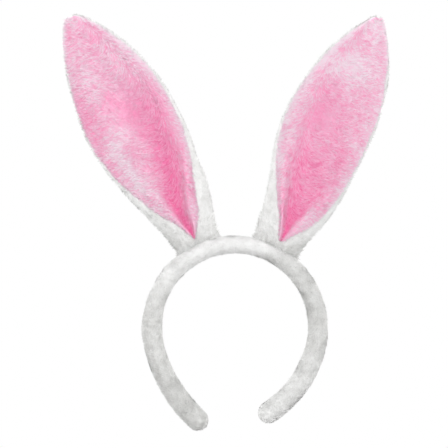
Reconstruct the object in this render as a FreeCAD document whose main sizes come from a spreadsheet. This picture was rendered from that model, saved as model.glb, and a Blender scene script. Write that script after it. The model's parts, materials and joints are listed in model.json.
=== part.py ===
# Animal ears headband: a padded plush C-shaped band with two wired, cupped rabbit ears.
# Frame: millimetres, +Z up as worn, the ears' pink fronts face -Y, the origin is the centre of
# the round part of the head opening.
import FreeCAD
import Part
import math
import os
import Sketcher

Vector = FreeCAD.Vector
os.makedirs("parts", exist_ok=True)
doc = FreeCAD.newDocument("AnimalEarsHeadband")
dims = doc.addObject("Spreadsheet::Sheet", "Dims")

DRIVING = [
    # the band: a circular arc over the head, then a flatter arc (radius and length) down to each tip
    ("band_radius", 64.8), ("bend_angle", 105.0),
    ("left_bow", 114.0), ("right_bow", 85.0), ("left_tail", 74.4), ("right_tail", 71.4),
    # half sizes of the band's oval section at the top, beside the head and at the tips
    ("thick_top", 6.9), ("thick_side", 8.0), ("thick_end", 9.0),
    ("wide_top", 8.5), ("wide_side", 9.3), ("wide_end", 10.0),
    ("sleeve_wall", 1.6), ("core_thick", 1.8), ("core_width", 9.0), ("core_short", 12.0),
    ("flex_angle", 57.0), ("body_gap", 0.3), ("clearance", 0.2),
    # the sleeve's closing seam, and the knots that gather its closed ends
    ("seam_thread", 0.35), ("seam_short", 12.0), ("knot_radius", 1.4), ("knot_height", 0.8),
    # where each ear stands on the band, how it leans, how it is turned, and its share of full size
    ("left_root", 25.0), ("left_lean", 28.0), ("left_turn", 4.0), ("left_share", 1.0),
    ("right_root", 27.0), ("right_lean", 24.0), ("right_turn", -9.0), ("right_share", 0.975),
    # the gathered root, the glue under it (length, width, height and shift back) and its stitches
    ("pivot_lift", 0.6), ("root_radius", 7.5), ("root_length", 34.0), ("root_seat", 46.0),
    ("glue_thick", 0.8), ("glue_length", 30.0), ("glue_width", 6.0), ("glue_height", 8.0), ("glue_back", 1.5),
    ("stitch_radius", 0.4), ("stitch_length", 3.6), ("stitch_pitch", 4.2), ("stitch_gap", 0.15),
    # the layers of an ear: where each starts and ends, as a share of the padded thickness from
    # behind, and how far it keeps clear of the pink panel's edge
    ("back_from", 0.0), ("back_to", 1.0), ("back_side", 0.0),
    ("recess_from", 0.38), ("recess_to", 1.12), ("recess_side", 0.05),
    ("wadding_from", 0.42), ("wadding_to", 0.68), ("wadding_side", 3.2),
    ("front_from", 0.73), ("front_to", 1.0), ("front_side", 0.4),
    # the ear's spine line, the wire along its edge and its edge seam
    ("spine_depth", 8.0), ("panel_top", 187.0),
    ("wire_radius", 0.5), ("wire_layer", 0.6), ("wire_side", 1.9), ("wire_lift", 0.0),
    ("thread_radius", 0.35), ("thread_layer", 1.0), ("thread_side", 0.2), ("thread_lift", 0.5),
]
# sections across an ear, from root to tip: height, width, depth of the cup, padded thickness,
# and the share of the width that the pink panel takes
EAR_SECTIONS = [
    (10.0, 40.0, 14.0, 8.0, 0.42),
    (30.0, 50.5, 15.0, 9.0, 0.56),
    (60.0, 63.5, 14.0, 9.0, 0.76),
    (100.0, 73.5, 12.5, 9.0, 0.88),
    (130.0, 69.5, 10.0, 9.0, 0.91),
    (160.0, 53.5, 7.0, 8.0, 0.90),
    (180.0, 37.0, 4.5, 7.0, 0.87),
    (193.0, 22.0, 2.5, 6.0, 0.80),
    (200.0, 9.0, 0.9, 4.5, 0.60),
]
SECTION_WORDS = ("height", "width", "cup", "thick", "pink")
ROW_LETTERS = "ABCDEFGHI"

row = 0
for alias, value in DRIVING:
    row += 1
    dims.set(f"A{row}", alias)
    dims.set(f"B{row}", str(value))
    dims.setAlias(f"B{row}", alias)
for letter, section in zip(ROW_LETTERS, EAR_SECTIONS):
    for word, value in zip(SECTION_WORDS, section):
        row += 1
        dims.set(f"A{row}", f"ear_{word}_{letter}")
        dims.set(f"B{row}", str(value))
        dims.setAlias(f"B{row}", f"ear_{word}_{letter}")
doc.recompute()


def size(alias):
    """A driving dimension's value."""
    return float(dims.get(alias))


SIGN = {"left": -1.0, "right": 1.0}
# how many stretches the lofts are divided into, and where a rounded tip's sections stand
CROWN_STEPS = 10
ARM_STEPS = 9
SEAM_STEPS = 10
SEAT_STEPS = 4
TIP_REACHES = (0.4, 0.7, 0.9, 0.985)
nodes = []


def keep(obj, label):
    """Names an object as one of the headband's pieces."""
    obj.Label = label
    nodes.append(obj)
    return obj


# ---------------------------------------------------------------- the band's centre line

def band_point(side, run):
    """Point, tangent and outward normal at a distance along the band from its top."""
    radius, bow = size("band_radius"), size(f"{side}_bow")
    bend = math.radians(size("bend_angle"))
    past = max(run - radius * bend, 0.0) / bow
    angle = min(run / radius, bend) + past
    flip = SIGN[side]
    tangent = Vector(flip * math.cos(angle), 0, -math.sin(angle))
    normal = Vector(flip * math.sin(angle), 0, math.cos(angle))
    if past > 0:
        return bow_centre(side) + normal * bow, tangent, normal
    return normal * radius, tangent, normal


def bow_centre(side):
    """The centre of the flatter arc: it runs on from the arc over the head without a corner."""
    bend = math.radians(size("bend_angle"))
    reach = size("band_radius") - size(f"{side}_bow")
    return Vector(SIGN[side] * math.sin(bend), 0, math.cos(bend)) * reach


def run_at(angle_deg):
    return size("band_radius") * math.radians(angle_deg)


def tip_run(side):
    return run_at(size("bend_angle")) + size(f"{side}_tail")


def half_size(kind, side, run):
    """The band's half thickness or half width at a distance from its top: expression and value."""
    side_run = run_at(90.0)
    if run <= side_run:
        share = run / side_run
        first, last = f"{kind}_top", f"{kind}_side"
    else:
        share = (run - side_run) / (tip_run(side) - side_run)
        first, last = f"{kind}_side", f"{kind}_end"
    words = f"({1.0 - share:.4f} * Dims.{first} + {share:.4f} * Dims.{last})"
    return words, (1.0 - share) * size(first) + share * size(last)


def square_to(normal):
    """A turn that sets a flat section square to the band: its long way from front to back."""
    return FreeCAD.Rotation(Vector(0, 1, 0), normal, Vector(0, 0, 0), "XYZ")


def oval(name, side, run, inset, scale):
    """One oval section of the band, square to its centre line."""
    point, tangent, normal = band_point(side, run)
    ellipse = doc.addObject("Part::Ellipse", name)
    ellipse.setExpression("MajorRadius", f"({half_size('wide', side, run)[0]} - ({inset})) * {scale:.4f}")
    ellipse.setExpression("MinorRadius", f"({half_size('thick', side, run)[0]} - ({inset})) * {scale:.4f}")
    ellipse.Placement = FreeCAD.Placement(point, square_to(normal))
    return ellipse


def loft(name, sections):
    solid = doc.addObject("Part::Loft", name)
    solid.Sections = sections
    solid.Solid = True
    solid.Ruled = False
    return solid


def arm_solid(name, side, inset, inset_size):
    """An arm's padded form, shrunk by an inset, from the flex joint to its rounded tip."""
    start = run_at(size("flex_angle")) + size("body_gap")
    end = tip_run(side) - inset_size
    round_start = end - (size("thick_end") - inset_size)
    stops = [(start + (round_start - start) * i / ARM_STEPS, 1.0) for i in range(ARM_STEPS + 1)]
    for reach in TIP_REACHES:
        stops.append((round_start + (end - round_start) * reach, math.sqrt(1.0 - reach ** 2)))
    sections = [oval(f"{name}_{i}", side, run, inset, scale) for i, (run, scale) in enumerate(stops)]
    return loft(name, sections)


def crown_solid(name, inset, reach_deg):
    """The top of the band, shrunk by an inset, as far as an angle on each side of the top."""
    sections = []
    for i in range(CROWN_STEPS + 1):
        angle = reach_deg * (2.0 * i / CROWN_STEPS - 1.0)
        side = "left" if angle < 0 else "right"
        sections.append(oval(f"{name}_{i}", side, run_at(abs(angle)), inset, 1.0))
    return loft(name, sections)


# ---------------------------------------------------------------- the plastic strip

def plane_of(body, role):
    return next(f for f in body.Origin.OriginFeatures if f.Role == role)


def strip_arc(sketch, centre, radius, from_deg, to_deg, flip, words):
    """One long edge of the strip: an arc between two angles from the top, and its two ends."""
    ends = []
    for angle_deg in (from_deg, to_deg):
        angle = math.radians(angle_deg)
        ends.append(centre + Vector(flip * radius * math.sin(angle), radius * math.cos(angle), 0))
    rays = [point - centre for point in (ends if flip < 0 else ends[::-1])]
    first, last = (math.atan2(ray.y, ray.x) for ray in rays)
    if last < first:
        last += 2.0 * math.pi
    circle = Part.Circle(centre, Vector(0, 0, 1), radius)
    arc = sketch.addGeometry(Part.ArcOfCircle(circle, first, last), False)
    pin = sketch.addConstraint(Sketcher.Constraint("Radius", arc, radius))
    sketch.setExpression(f"Constraints[{pin}]", words)
    return ends


def strip(label, side, from_deg, to_deg, tail):
    """A flat strip of the springy plastic core: an arc, and on an arm its flatter tail."""
    body = doc.addObject("PartDesign::Body", label)
    sketch = body.newObject("Sketcher::SketchObject", f"{label}_outline")
    sketch.AttachmentSupport = [(plane_of(body, "XZ_Plane"), "")]
    sketch.MapMode = "FlatFace"
    half = size("core_thick") / 2.0
    bow = size(f"{side}_bow")
    centre = bow_centre(side)
    near, far = [], []
    for sign in (1.0, -1.0):
        words = f"{'+' if sign > 0 else '-'} Dims.core_thick / 2"
        start, end = strip_arc(sketch, Vector(0, 0, 0), size("band_radius") + sign * half, from_deg, to_deg,
                               SIGN[side], f"Dims.band_radius {words}")
        if tail > 0:
            end = strip_arc(sketch, Vector(centre.x, centre.z, 0), bow + sign * half, to_deg,
                            to_deg + math.degrees(tail / bow), SIGN[side], f"Dims.{side}_bow {words}")[1]
        near.append(start)
        far.append(end)
    for ends in (near, far):
        sketch.addGeometry(Part.LineSegment(*ends), False)
    pad = body.newObject("PartDesign::Pad", f"{label}_pad")
    pad.Profile = sketch
    pad.SideType = "Symmetric"
    pad.setExpression("Length", "Dims.core_width")
    doc.recompute()
    if tail > 0:
        corners = []
        for i, edge in enumerate(pad.Shape.Edges, 1):
            middle = edge.CenterOfMass
            at_end = (Vector(middle.x, middle.z, 0) - (far[0] + far[1]) * 0.5).Length < size("clearance")
            if at_end and abs(middle.y) > half:
                corners.append(f"Edge{i}")
        fillet = body.newObject("PartDesign::Fillet", f"{label}_end")
        fillet.Base = (pad, corners)
        fillet.setExpression("Radius", "Dims.core_width * 0.45")
    return keep(body, label)


def cut(name, base, tool, label):
    piece = doc.addObject("Part::Cut", name)
    piece.Base = base
    piece.Tool = tool
    return keep(piece, label)


def seam(label, side, from_run, to_run):
    """The thread of the sleeve's closing seam, along the band on the head's side."""
    sections = []
    for i in range(SEAM_STEPS + 1):
        run = from_run + (to_run - from_run) * i / SEAM_STEPS
        flank = "left" if run < 0 else side
        point, tangent, normal = band_point(flank, abs(run))
        circle = doc.addObject("Part::Circle", f"{label}_{i}")
        circle.setExpression("Radius", "Dims.seam_thread")
        half = half_size("thick", flank, abs(run))[1]
        place = point - normal * (half + size("seam_thread") + size("clearance"))
        circle.Placement = FreeCAD.Placement(place, square_to(normal))
        sections.append(circle)
    return keep(loft(f"{label}_loft", sections), label)


flex = size("flex_angle")
crown_outer = crown_solid("crown_form", "0", flex)
crown_inner = crown_solid("crown_lining", "Dims.sleeve_wall", flex)
strip("band_core_crown", "right", -flex, flex, 0.0)
cut("crown_sleeve_cut", crown_outer, crown_inner, "sleeve_crown")
cut("crown_foam_cut", crown_inner, nodes[0], "foam_crown")
seam("sleeve_seam_crown", "right", -run_at(flex), run_at(flex))
gap_deg = math.degrees(size("body_gap") / size("band_radius"))

for side in ("left", "right"):
    outer = arm_solid(f"{side}_arm_form", side, "0", 0.0)
    inner = arm_solid(f"{side}_arm_lining", side, "Dims.sleeve_wall", size("sleeve_wall"))
    tail = size(f"{side}_tail") - size("core_short")
    core = strip(f"band_core_{side}", side, flex + gap_deg, size("bend_angle"), tail)
    cut(f"{side}_sleeve_cut", outer, inner, f"sleeve_{side}")
    cut(f"{side}_foam_cut", inner, core, f"foam_{side}")
    seam(f"sleeve_seam_{side}", side, run_at(flex) + size("body_gap"), tip_run(side) - size("seam_short"))
    # the thread knot that gathers the sleeve's closed end
    point, tangent, normal = band_point(side, tip_run(side) + size("clearance"))
    knot = doc.addObject("Part::Cylinder", f"{side}_tip_knot")
    knot.setExpression("Radius", "Dims.knot_radius")
    knot.setExpression("Height", "Dims.knot_height")
    knot.Placement = FreeCAD.Placement(point, FreeCAD.Rotation(Vector(0, 0, 1), tangent))
    keep(knot, f"tip_stitches_{side}")


# ---------------------------------------------------------------- the ears

def ear_place(side):
    """The ear's own frame: root pivot, then lean about Y and turn about its own length."""
    angle = math.radians(size(f"{side}_root"))
    radius = size("band_radius") + size("thick_top") + size("pivot_lift")
    pivot = Vector(SIGN[side] * radius * math.sin(angle), 0, radius * math.cos(angle))
    lean = FreeCAD.Rotation(Vector(0, 1, 0), SIGN[side] * size(f"{side}_lean"))
    turn = FreeCAD.Rotation(Vector(0, 0, 1), size(f"{side}_turn"))
    return pivot, lean, turn


def arc_words(letter, side, depth):
    """Expressions for the back arc's radius and for the radius at a depth in the padded thickness."""
    share = f"Dims.{side}_share"
    width, cup = f"(Dims.ear_width_{letter} * {share})", f"(Dims.ear_cup_{letter} * {share})"
    back = f"(({width} ^ 2 / 4 + {cup} ^ 2) / (2 * {cup}))"
    return back, f"({back} - {depth} * Dims.ear_thick_{letter})"


def arc_values(section, side, depth):
    """The same radii as numbers, with the half angle that the back arc spans."""
    height, width, cup, thick, pink = section
    width *= size(f"{side}_share")
    cup *= size(f"{side}_share")
    back = (width ** 2 / 4.0 + cup ** 2) / (2.0 * cup)
    return back, back - depth * thick, math.asin(width / 2.0 / back)


def ear_sketch(body, label, side, i, layer):
    """One bowed section of a layer: two arcs about one centre, closed by two radial lines."""
    letter, section = ROW_LETTERS[i], EAR_SECTIONS[i]
    sketch = body.newObject("Sketcher::SketchObject", f"{label}_{letter}")
    sketch.AttachmentSupport = [(plane_of(body, "XY_Plane"), "")]
    sketch.MapMode = "FlatFace"
    height = f"Dims.ear_height_{letter} * Dims.{side}_share"
    sketch.setExpression("AttachmentOffset.Base.z", height)
    back, outer, span = arc_values(section, side, size(f"{layer}_from"))
    inner = arc_values(section, side, size(f"{layer}_to"))[1]
    if layer != "back":
        span = span * section[-1] - size(f"{layer}_side") / outer
    centre = Vector(0, size("spine_depth") - back, 0)
    low, high = math.pi / 2.0 - span, math.pi / 2.0 + span
    arcs = []
    for radius, depth in ((outer, f"Dims.{layer}_from"), (inner, f"Dims.{layer}_to")):
        circle = Part.Circle(centre, Vector(0, 0, 1), radius)
        arc = sketch.addGeometry(Part.ArcOfCircle(circle, low, high), False)
        arcs.append(arc)
        pin = sketch.addConstraint(Sketcher.Constraint("Radius", arc, radius))
        sketch.setExpression(f"Constraints[{pin}]", arc_words(letter, side, depth)[1])
    sketch.addConstraint(Sketcher.Constraint("Coincident", arcs[1], 3, arcs[0], 3))
    sketch.addConstraint(Sketcher.Constraint("PointOnObject", arcs[0], 3, -2))
    pin = sketch.addConstraint(Sketcher.Constraint("DistanceY", -1, 1, arcs[0], 3, centre.y))
    sketch.setExpression(f"Constraints[{pin}]", f"Dims.spine_depth - {arc_words(letter, side, '0')[0]}")
    for end, angle in ((1, low), (2, high)):
        ray = Vector(math.cos(angle), math.sin(angle), 0)
        line = sketch.addGeometry(Part.LineSegment(centre + ray * outer, centre + ray * inner), False)
        sketch.addConstraint(Sketcher.Constraint("Coincident", line, 1, arcs[0], end))
        sketch.addConstraint(Sketcher.Constraint("Coincident", line, 2, arcs[1], end))
        sketch.addConstraint(Sketcher.Constraint("PointOnObject", arcs[0], 3, line))
    sketch.addConstraint(Sketcher.Constraint("Symmetric", arcs[0], 1, arcs[0], 2, -2))
    chord = 2.0 * outer * math.sin(span)
    sketch.addConstraint(Sketcher.Constraint("DistanceX", arcs[0], 2, arcs[0], 1, chord))
    return sketch


def ear_layer(body, kind, side, layer, count):
    """Adds or cuts a layer of the ear through its lowest sections."""
    label = f"{side}_{layer}_form"
    sketches = [ear_sketch(body, label, side, i, layer) for i in range(count)]
    solid = body.newObject(f"PartDesign::{kind}Loft", label)
    solid.Profile = sketches[0]
    solid.Sections = sketches[1:]
    solid.Ruled = False
    body.Tip = solid


def ear_body(label, side):
    body = doc.addObject("PartDesign::Body", label)
    pivot, lean, turn = ear_place(side)
    body.Placement = FreeCAD.Placement(pivot, lean.multiply(turn))
    return body


def edge_line(side, kind):
    """Points up one edge of the pink panel, over its top and down the other edge."""
    share, depth, lift = size(f"{side}_share"), size(f"{kind}_layer"), size(f"{kind}_lift")
    panel = EAR_SECTIONS[:-2]
    rising = []
    for section in panel:
        height, width, cup, thick, pink = section
        back, radius, span = arc_values(section, side, depth)
        radius -= lift
        span = span * pink - size(f"{kind}_side") / radius
        forward = size("spine_depth") - back + radius * math.cos(span)
        rising.append(Vector(radius * math.sin(span), forward, height * share))
    top = Vector(0, size("spine_depth") - depth * thick - lift, size("panel_top") * share)
    return rising + [top] + [Vector(-p.x, p.y, p.z) for p in reversed(rising)]


def ear_tube(label, side, kind):
    """The wire or the seam's thread, swept along the pink panel's edge in the ear's own frame."""
    points = edge_line(side, kind)
    curve = Part.BSplineCurve()
    curve.interpolate(points)
    path = Part.Wire([curve.toShape()])
    start = Vector(curve.tangent(curve.FirstParameter)[0])
    ring = Part.Wire([Part.makeCircle(size(f"{kind}_radius"), points[0], start)])
    tube = doc.addObject("Part::Feature", label)
    tube.Shape = path.makePipeShell([ring], True, True)
    pivot, lean, turn = ear_place(side)
    tube.Placement = FreeCAD.Placement(pivot, lean.multiply(turn))
    return keep(tube, label)


def root_seat(side):
    """A short stretch of the band under an ear, grown by the glue's thickness."""
    first = run_at(size(f"{side}_root")) - size("root_seat") / 2.0
    runs = [first + size("root_seat") * i / SEAT_STEPS for i in range(SEAT_STEPS + 1)]
    name = f"{side}_root_seat"
    return loft(name, [oval(f"{name}_{i}", side, run, "-Dims.glue_thick", 1.0) for i, run in enumerate(runs)])


def ear_root(side, along, seat):
    """The ear's gathered tail, rolled along the band and shaped to sit on it."""
    pivot, lean, turn = ear_place(side)
    roll = doc.addObject("Part::Cylinder", f"{side}_root_roll")
    roll.setExpression("Radius", "Dims.root_radius")
    roll.setExpression("Height", "Dims.root_length")
    start = pivot - along * (size("root_length") / 2.0)
    roll.Placement = FreeCAD.Placement(start, FreeCAD.Rotation(Vector(0, 0, 1), along))
    cut(f"{side}_root_cut", roll, seat, f"{side}_ear_root")


def glue_pad(side, along, outward, seat):
    """The glue that fills the space between the root and the band's top."""
    block = doc.addObject("Part::Box", f"{side}_glue_block")
    block.setExpression("Length", "Dims.glue_length")
    block.setExpression("Width", "Dims.glue_width")
    block.setExpression("Height", "Dims.glue_height")
    centre = band_point(side, run_at(size(f"{side}_root")))[0]
    front = Vector(0, size("glue_back") - size("glue_width") / 2.0, 0)
    corner = centre - along * (size("glue_length") / 2.0) + front + outward * size("thick_top") / 2.0
    turn = FreeCAD.Rotation(along, Vector(0, 1, 0), Vector(0, 0, 0), "XYZ")
    block.Placement = FreeCAD.Placement(corner, turn)
    skin = doc.addObject("Part::Common", f"{side}_glue_skin")
    skin.Base = block
    skin.Tool = seat
    cut(f"{side}_glue_cut", skin, crown_outer, f"{side}_glue_pad")


def root_stitches(side):
    """A row of whip stitches down each flank of the root."""
    centre = SIGN[side] * math.radians(size(f"{side}_root"))
    band_top = size("band_radius") + size("thick_top")
    reach = size("root_radius") + size("stitch_radius") + size("stitch_gap")
    count = int(size("glue_length") / size("stitch_pitch"))
    stitches = []
    for flank in (-1.0, 1.0):
        for k in range(count + 1):
            angle = centre + (k - count / 2.0) * size("stitch_pitch") / band_top
            ray = Vector(math.sin(angle), 0, math.cos(angle))
            foot = ray * (band_top - size("thick_top") / 4.0) + Vector(0, flank * reach, 0)
            stitches.append(Part.makeCylinder(size("stitch_radius"), size("stitch_length"), foot, ray))
    row_node = doc.addObject("Part::Feature", f"{side}_root_stitches")
    row_node.Shape = Part.makeCompound(stitches)
    keep(row_node, f"{side}_root_stitches")


for side in ("left", "right"):
    full = len(EAR_SECTIONS)
    back = ear_body(f"{side}_ear_back_panel", side)
    ear_layer(back, "Additive", side, "back", full)
    ear_layer(back, "Subtractive", side, "recess", full - 1)
    keep(back, f"{side}_ear_back_panel")
    for layer in ("wadding", "front"):
        label = f"{side}_ear_wadding" if layer == "wadding" else f"{side}_ear_front_panel"
        panel = ear_body(label, side)
        ear_layer(panel, "Additive", side, layer, full - 2)
        keep(panel, label)
    ear_tube(f"{side}_ear_wire", side, "wire")
    ear_tube(f"{side}_ear_edge_seam", side, "thread")

    root_angle = math.radians(size(f"{side}_root"))
    along = Vector(math.cos(root_angle), 0, -SIGN[side] * math.sin(root_angle))
    outward = Vector(SIGN[side] * math.sin(root_angle), 0, math.cos(root_angle))
    seat = root_seat(side)
    ear_root(side, along, seat)
    glue_pad(side, along, outward, seat)
    root_stitches(side)

doc.recompute()

# ---------------------------------------------------------------- checks and files
faults = []
for obj in doc.Objects:
    if "Invalid" in obj.State or "Error" in obj.State:
        faults.append(f"{obj.Label}: {obj.State}")
for obj in nodes:
    if obj.Shape.isNull() or not obj.Shape.isValid():
        faults.append(f"{obj.Label}: bad shape")
if faults:
    raise SystemExit("\n".join(faults))
for obj in nodes:
    box = obj.Shape.BoundBox
    print(f"{obj.Label:24s} volume {obj.Shape.Volume:9.1f}  z {box.ZMin:7.1f} {box.ZMax:7.1f}")
    obj.Shape.exportStep(f"parts/{obj.Label}.step")
print(f"{len(nodes)} nodes")
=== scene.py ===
"""Plush rabbit-ears headband: the looks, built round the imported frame.

Metres, +Z up, and the ears' pink fronts face -Y. Left and right are as the front view shows them.
"""
import bpy
import json
import math
import numpy as np
from mathutils import Matrix, Vector


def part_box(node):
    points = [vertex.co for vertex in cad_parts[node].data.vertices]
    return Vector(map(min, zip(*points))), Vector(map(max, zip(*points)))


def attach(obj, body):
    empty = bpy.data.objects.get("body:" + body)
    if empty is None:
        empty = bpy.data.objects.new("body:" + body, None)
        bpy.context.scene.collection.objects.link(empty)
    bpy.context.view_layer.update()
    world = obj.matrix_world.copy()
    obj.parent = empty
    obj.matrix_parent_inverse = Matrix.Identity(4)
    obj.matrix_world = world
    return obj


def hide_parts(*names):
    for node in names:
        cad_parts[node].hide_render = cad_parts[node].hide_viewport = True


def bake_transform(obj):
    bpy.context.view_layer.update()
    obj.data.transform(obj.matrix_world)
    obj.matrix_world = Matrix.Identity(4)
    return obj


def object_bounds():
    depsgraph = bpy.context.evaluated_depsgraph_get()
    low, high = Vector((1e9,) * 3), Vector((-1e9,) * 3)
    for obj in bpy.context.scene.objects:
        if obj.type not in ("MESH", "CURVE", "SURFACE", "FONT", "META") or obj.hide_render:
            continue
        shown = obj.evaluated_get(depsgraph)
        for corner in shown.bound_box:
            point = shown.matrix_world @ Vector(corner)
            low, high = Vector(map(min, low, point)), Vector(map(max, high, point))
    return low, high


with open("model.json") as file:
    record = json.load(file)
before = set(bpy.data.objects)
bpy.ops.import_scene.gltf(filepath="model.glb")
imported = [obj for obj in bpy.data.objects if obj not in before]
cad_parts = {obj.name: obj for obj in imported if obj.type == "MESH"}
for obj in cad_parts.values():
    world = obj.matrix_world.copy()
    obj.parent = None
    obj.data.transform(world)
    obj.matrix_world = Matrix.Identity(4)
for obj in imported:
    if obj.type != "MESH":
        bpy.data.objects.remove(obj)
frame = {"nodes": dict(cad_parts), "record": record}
cad_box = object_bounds()
MM = 0.001
SIDES = ("left", "right")
SIGN = {"left": -1.0, "right": 1.0}
JOINTS = {joint["name"]: joint for joint in frame["record"]["behaviour"]["joints"]}


# -------- numbers and small tools

def smooth_table(table, at):
    """A smooth curve through (place, value) pairs, read at an array of places."""
    xs, ys = (np.array(column, float) for column in zip(*table))
    slopes = np.gradient(ys, xs)
    at = np.clip(np.asarray(at, float), xs[0], xs[-1])
    i = np.clip(np.searchsorted(xs, at, side="right") - 1, 0, len(xs) - 2)
    step = xs[i + 1] - xs[i]
    t = (at - xs[i]) / step
    t2, t3 = t * t, t * t * t
    first = (2 * t3 - 3 * t2 + 1) * ys[i] + (t3 - 2 * t2 + t) * step * slopes[i]
    last = (3 * t2 - 2 * t3) * ys[i + 1] + (t3 - t2) * step * slopes[i + 1]
    return first + last


def ramp(value, low, high):
    t = np.clip((np.asarray(value, float) - low) / (high - low), 0.0, 1.0)
    return t * t * (3.0 - 2.0 * t)


def lattice(cell, seed):
    """A fixed pseudo-random value from -1 to 1 for each whole-numbered cell."""
    mixed = cell[..., 0] * 374761393 + cell[..., 1] * 668265263
    mixed = mixed + cell[..., 2] * 1103515245 + seed * 97531
    mixed = (mixed ^ (mixed >> 13)) * 1274126177
    mixed = mixed ^ (mixed >> 16)
    return (mixed & 0xFFFF) / 32767.5 - 1.0


def noise(points, size, seed=0):
    """Smooth noise over points, with features of about the given size."""
    scaled = points / size
    cell = np.floor(scaled).astype(np.int64)
    part = scaled - cell
    part = part * part * (3.0 - 2.0 * part)
    total = np.zeros(len(points))
    for corner in np.ndindex(2, 2, 2):
        weight = np.prod(np.abs(1 - np.array(corner) - part), axis=1)
        total += weight * lattice(cell + np.array(corner), seed)
    return total


def layered_noise(points, *layers):
    """Noise of several sizes: each layer is its weight, its size in mm and its seed."""
    return sum(weight * noise(points, size * MM, seed) for weight, size, seed in layers)


def unit(vectors):
    return vectors / np.maximum(np.linalg.norm(vectors, axis=-1, keepdims=True), 1e-12)


def grid_faces(rows, cols, start=0, wrap=False, flip=False):
    """Quads of a grid of points stored row by row."""
    r = np.arange(rows - 1)[:, None]
    c = np.arange(cols if wrap else cols - 1)[None, :]
    right = (c + 1) % cols
    near, far = r * cols, (r + 1) * cols
    quads = np.stack([near + c, near + right, far + right, far + c], -1).reshape(-1, 4) + start
    return quads[:, ::-1] if flip else quads


def fan_faces(ring, pole, flip=False):
    """Triangles between a closed ring of points and one more point, its pole."""
    following = np.roll(ring, -1)
    pair = (following, ring) if flip else (ring, following)
    return np.stack([*pair, np.full(len(ring), pole)], 1)


def slab_faces(rows, cols):
    """Quads of a slab: a grid, a second one behind it, stored straight after it, and its four sides."""
    count = rows * cols
    lower = np.arange(cols)
    start = np.arange(rows) * cols
    sides = ((lower, False), (lower + count - cols, True), (start, True), (start + cols - 1, False))
    faces = [grid_faces(rows, cols), grid_faces(rows, cols, count, flip=True)]
    for edge, flip in sides:
        a, b = (edge[1:], edge[:-1]) if flip else (edge[:-1], edge[1:])
        faces.append(np.stack([b, a, a + count, b + count], 1))
    return np.concatenate(faces)


def add_object(name, data):
    obj = bpy.data.objects.new(name, data)
    bpy.context.scene.collection.objects.link(obj)
    return obj


def make_mesh(name, points, quads, triangles=(), tone=None, normals=None, material=None):
    """A mesh object from arrays, smooth shaded, with an optional colour attribute."""
    mesh = bpy.data.meshes.new(name)
    mesh.vertices.add(len(points))
    mesh.vertices.foreach_set("co", np.asarray(points, np.float32).ravel())
    loops = np.concatenate([np.ravel(quads), np.ravel(triangles)]).astype(np.int32)
    sizes = np.concatenate([np.full(len(quads), 4), np.full(len(triangles), 3)]).astype(np.int32)
    mesh.loops.add(len(loops))
    mesh.loops.foreach_set("vertex_index", loops)
    mesh.polygons.add(len(sizes))
    starts = np.concatenate([[0], np.cumsum(sizes)[:-1]]).astype(np.int32)
    mesh.polygons.foreach_set("loop_start", starts)
    mesh.polygons.foreach_set("use_smooth", np.ones(len(sizes), bool))
    mesh.update(calc_edges=True)
    mesh.validate()
    if tone is not None:
        attribute = mesh.color_attributes.new("tone", "FLOAT_COLOR", "POINT")
        rgba = np.ones((len(points), 4), np.float32)
        rgba[:, :tone.shape[1]] = tone
        attribute.data.foreach_set("color", rgba.ravel())
    if normals is not None:
        mesh.normals_split_custom_set_from_vertices(normals.tolist())
    if material is not None:
        mesh.materials.append(material)
    return add_object(name, mesh)


# -------- materials

class Shading:
    """A new material, and short ways to put nodes in front of its shader."""

    def __init__(self, name):
        self.material = bpy.data.materials.new(name)
        self.material.use_nodes = True
        self.tree = self.material.node_tree

    def feed(self, node, inputs):
        """Sets a node's inputs: another node's output is linked, any other value is written."""
        for name, value in inputs.items():
            if isinstance(value, bpy.types.NodeSocket):
                self.tree.links.new(value, node.inputs[name])
            else:
                node.inputs[name].default_value = value

    def shader(self, inputs):
        """Feeds the shader itself, and gives back the finished material."""
        self.feed(self.tree.nodes["Principled BSDF"], inputs)
        return self.material

    def node(self, kind, inputs, output, **settings):
        """One output of a new node."""
        node = self.tree.nodes.new("ShaderNode" + kind)
        for setting, value in settings.items():
            setattr(node, setting, value)
        self.feed(node, inputs)
        return node.outputs[output]

    def texture(self, kind, inputs):
        """A texture laid out in the object's own space."""
        place = self.node("TexCoord", {}, "Object")
        return self.node(kind, {"Vector": place, **inputs}, "Fac")

    def maths(self, operation, first, second):
        return self.node("Math", {0: first, 1: second}, 0, operation=operation)

    def varied(self, value, weight):
        """A noise value moved to lie about zero, times a weight."""
        return self.maths("MULTIPLY", self.maths("SUBTRACT", value, 0.5), weight)

    def uneven(self, value, middle):
        """A roughness that follows a noise value, up to 0.1 to each side of its middle."""
        return self.maths("ADD", self.maths("MULTIPLY", value, 0.2), middle - 0.1)

    def colours(self, factor, stops):
        """A colour between stops, each a place from 0 to 1 and its colour."""
        node = self.tree.nodes.new("ShaderNodeValToRGB")
        elements = node.color_ramp.elements
        while len(elements) < len(stops):
            elements.new(0.5)
        for element, (place, colour) in zip(elements, stops):
            element.position = place
            element.color = (*colour, 1.0)
        self.feed(node, {"Fac": factor})
        return node.outputs["Color"]

    def bump(self, height, strength, distance):
        return self.node("Bump", {"Height": height, "Strength": strength, "Distance": distance}, "Normal")


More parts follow.
